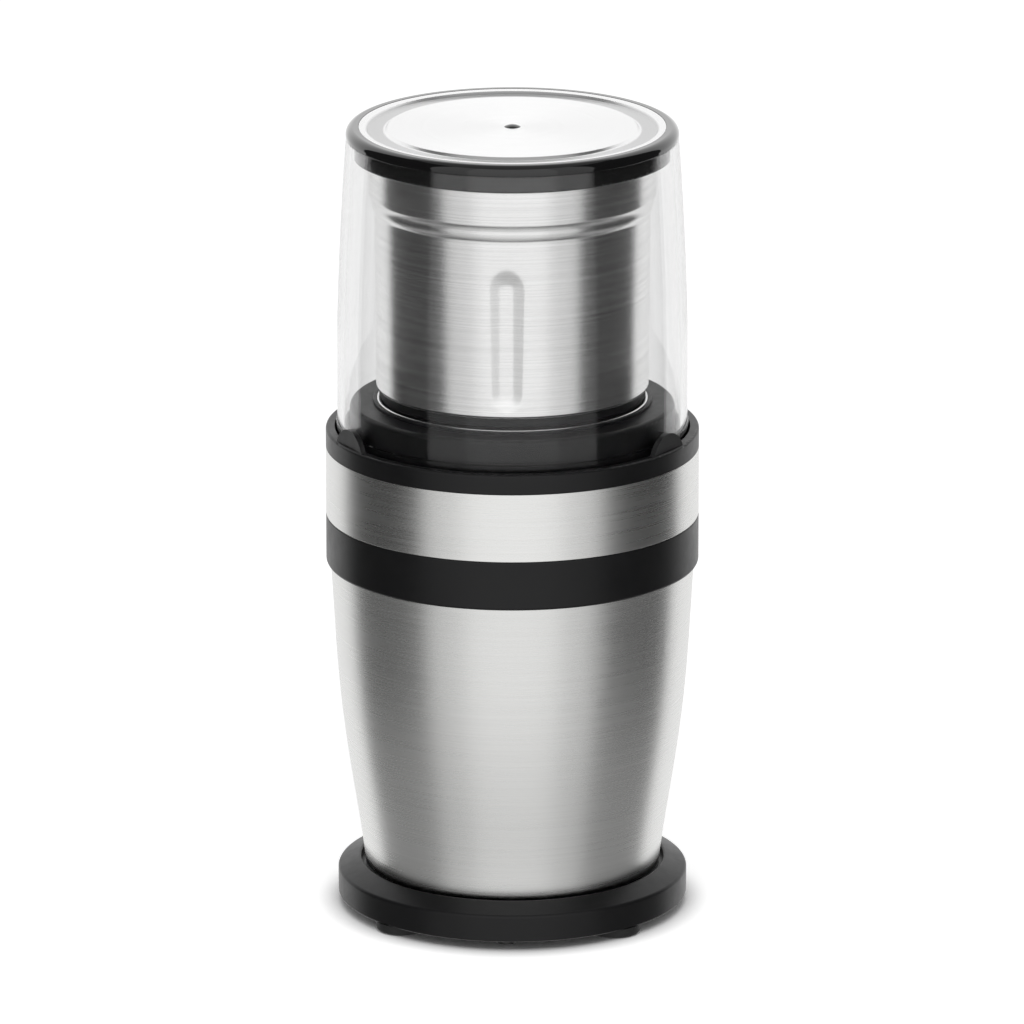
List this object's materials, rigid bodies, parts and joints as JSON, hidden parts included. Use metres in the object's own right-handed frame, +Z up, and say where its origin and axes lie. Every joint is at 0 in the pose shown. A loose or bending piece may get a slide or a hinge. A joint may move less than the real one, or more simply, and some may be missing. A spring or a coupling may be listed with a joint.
{
  "type": "electric spice grinder",
  "caption": "Upright electric spice and coffee grinder with a press-down clear lid, a lift-out steel cup and a tapered brushed steel body on a round black base.",
  "frame": {"origin": "centre of the footprint on the surface it stands on", "axes": "+Z up through the lid, -Y towards the user, +Y towards the cord inlet"},
  "size_m": [0.114, 0.114, 0.2461],
  "materials": {
    "brushed_steel": "circumferential brushed finish",
    "polished_steel": "polished",
    "black_plastic": "satin moulded black",
    "glossy_black": "glossy moulded black",
    "clear_plastic": "clear polished moulding",
    "black_rubber": "matte",
    "inner_plastic": "plain moulded",
    "screw_steel": "plain zinc plated",
    "brass": "machined",
    "aluminium": "die cast",
    "laminated_iron": "stacked sheet",
    "copper": "enamelled copper",
    "carbon": "sintered carbon",
    "board_green": "printed board"
  },
  "bodies": {
    "root": {"rubber_feet": "black_rubber", "bottom_cover": "black_plastic", "cover_screws": "screw_steel", "base_ring": "black_plastic", "base_screws": "screw_steel", "body_shell": "brushed_steel", "black_band": "black_plastic", "steel_band": "brushed_steel", "inner_casing": "inner_plastic", "cord_gland": "black_rubber", "top_collar": "black_plastic", "well_trim_ring": "polished_steel", "collar_screws": "screw_steel", "press_springs": "screw_steel", "microswitch": "inner_plastic", "circuit_board": "board_green", "top_bracket": "aluminium", "bottom_bracket": "aluminium", "bearings": "screw_steel", "stator_core": "laminated_iron", "field_coils": "copper", "brush_holders": "brass", "carbon_brushes": "carbon", "motor_screws": "screw_steel"},
    "press": {"press_ring": "black_plastic"},
    "lever": {"switch_lever": "screw_steel"},
    "lid": {"lid_cover": "clear_plastic", "lid_rim_ring": "glossy_black", "lid_cap_disc": "polished_steel", "lid_plug": "glossy_black", "seal_carrier": "black_plastic", "lid_seal": "black_rubber"},
    "cup": {"grinding_cup": "brushed_steel", "cup_base": "black_plastic", "spindle_bush": "brass", "spindle_seal": "black_rubber"},
    "blade_shaft": {"cup_spindle": "screw_steel", "blade": "polished_steel", "blade_nut": "polished_steel", "driven_coupling": "black_plastic"},
    "rotor": {"motor_shaft": "screw_steel", "rotor_core": "laminated_iron", "rotor_windings": "copper", "commutator": "copper", "cooling_fan": "inner_plastic", "drive_coupling": "black_plastic"}
  },
  "joints": [
    {"name": "lid_press", "type": "slide", "parent": "root", "child": "press", "axis": [0, 0, 1], "range_m": [-0.0025, 0], "stiffness_N_per_m": 800, "springref_m": 0.006, "deforming": ["press_springs"]},
    {"name": "lid_lift", "type": "slide", "parent": "press", "child": "lid", "axis": [0, 0, 1], "range_m": [0, 0.16]},
    {"name": "cup_lift", "type": "slide", "parent": "root", "child": "cup", "axis": [0, 0, 1], "range_m": [0, 0.065]},
    {"name": "motor_spin", "type": "hinge", "parent": "root", "child": "rotor", "pos_m": [0, 0, 0.09], "axis": [0, 0, 1], "continuous": true},
    {"name": "blade_spin", "type": "hinge", "parent": "cup", "child": "blade_shaft", "pos_m": [0, 0, 0.16], "axis": [0, 0, 1], "continuous": true},
    {"name": "lever_swing", "type": "hinge", "parent": "root", "child": "lever", "pos_m": [-0.011, 0.0494, 0.132], "axis": [0, 1, 0], "range_deg": [0, 13.2]}
  ],
  "couplings": [
    {"joint": "cup_lift", "follows": "lid_lift", "ratio": 0.4},
    {"joint": "blade_spin", "follows": "motor_spin", "ratio": 1},
    {"joint": "lever_swing", "follows": "lid_press", "rad_per_m": -90.76}
  ]
}
